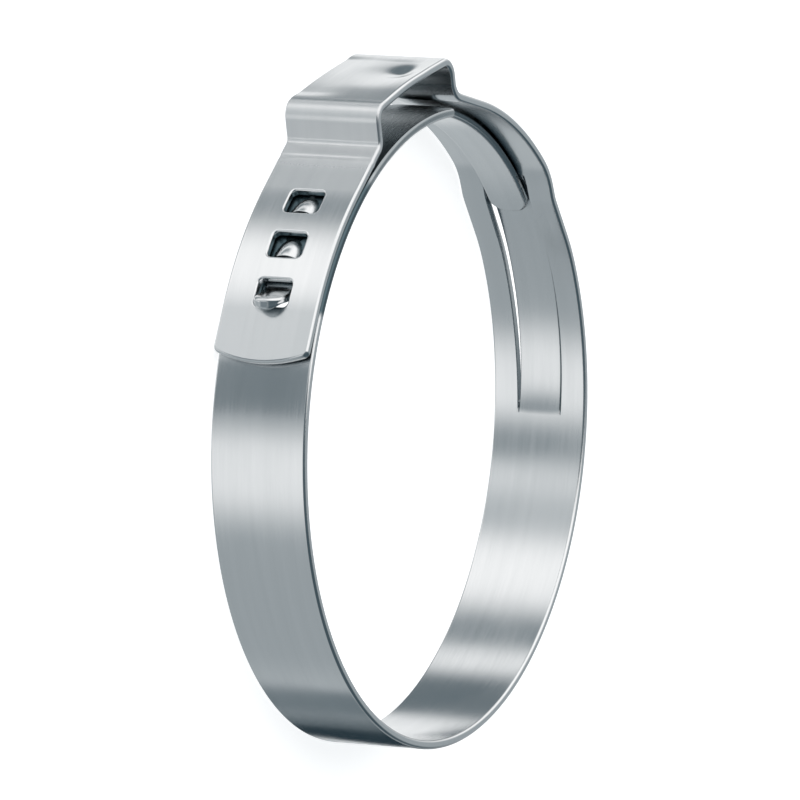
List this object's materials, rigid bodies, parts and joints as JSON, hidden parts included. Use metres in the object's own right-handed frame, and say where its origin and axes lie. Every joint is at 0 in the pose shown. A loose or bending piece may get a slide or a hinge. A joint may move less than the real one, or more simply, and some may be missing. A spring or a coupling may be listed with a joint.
{
  "type": "ear hose clamp",
  "caption": "One-piece stepless ear clamp: a flat metal strip hooked onto itself, with a raised ear that is pinched to tighten it on a hose.",
  "frame": {"origin": "centre of the bore, halfway across the strip's width", "axes": "+Z along the bore, +Y out through the middle of the ear, +X towards the tongue and channel; the clamp lies on its lower rim"},
  "size_m": [0.0438, 0.0466, 0.007],
  "materials": {
    "stainless_strip": "satin rolled stainless strip, bright on its rounded rims"
  },
  "bodies": {
    "root": {"clamp_band": "stainless_strip"}
  },
  "joints": []
}
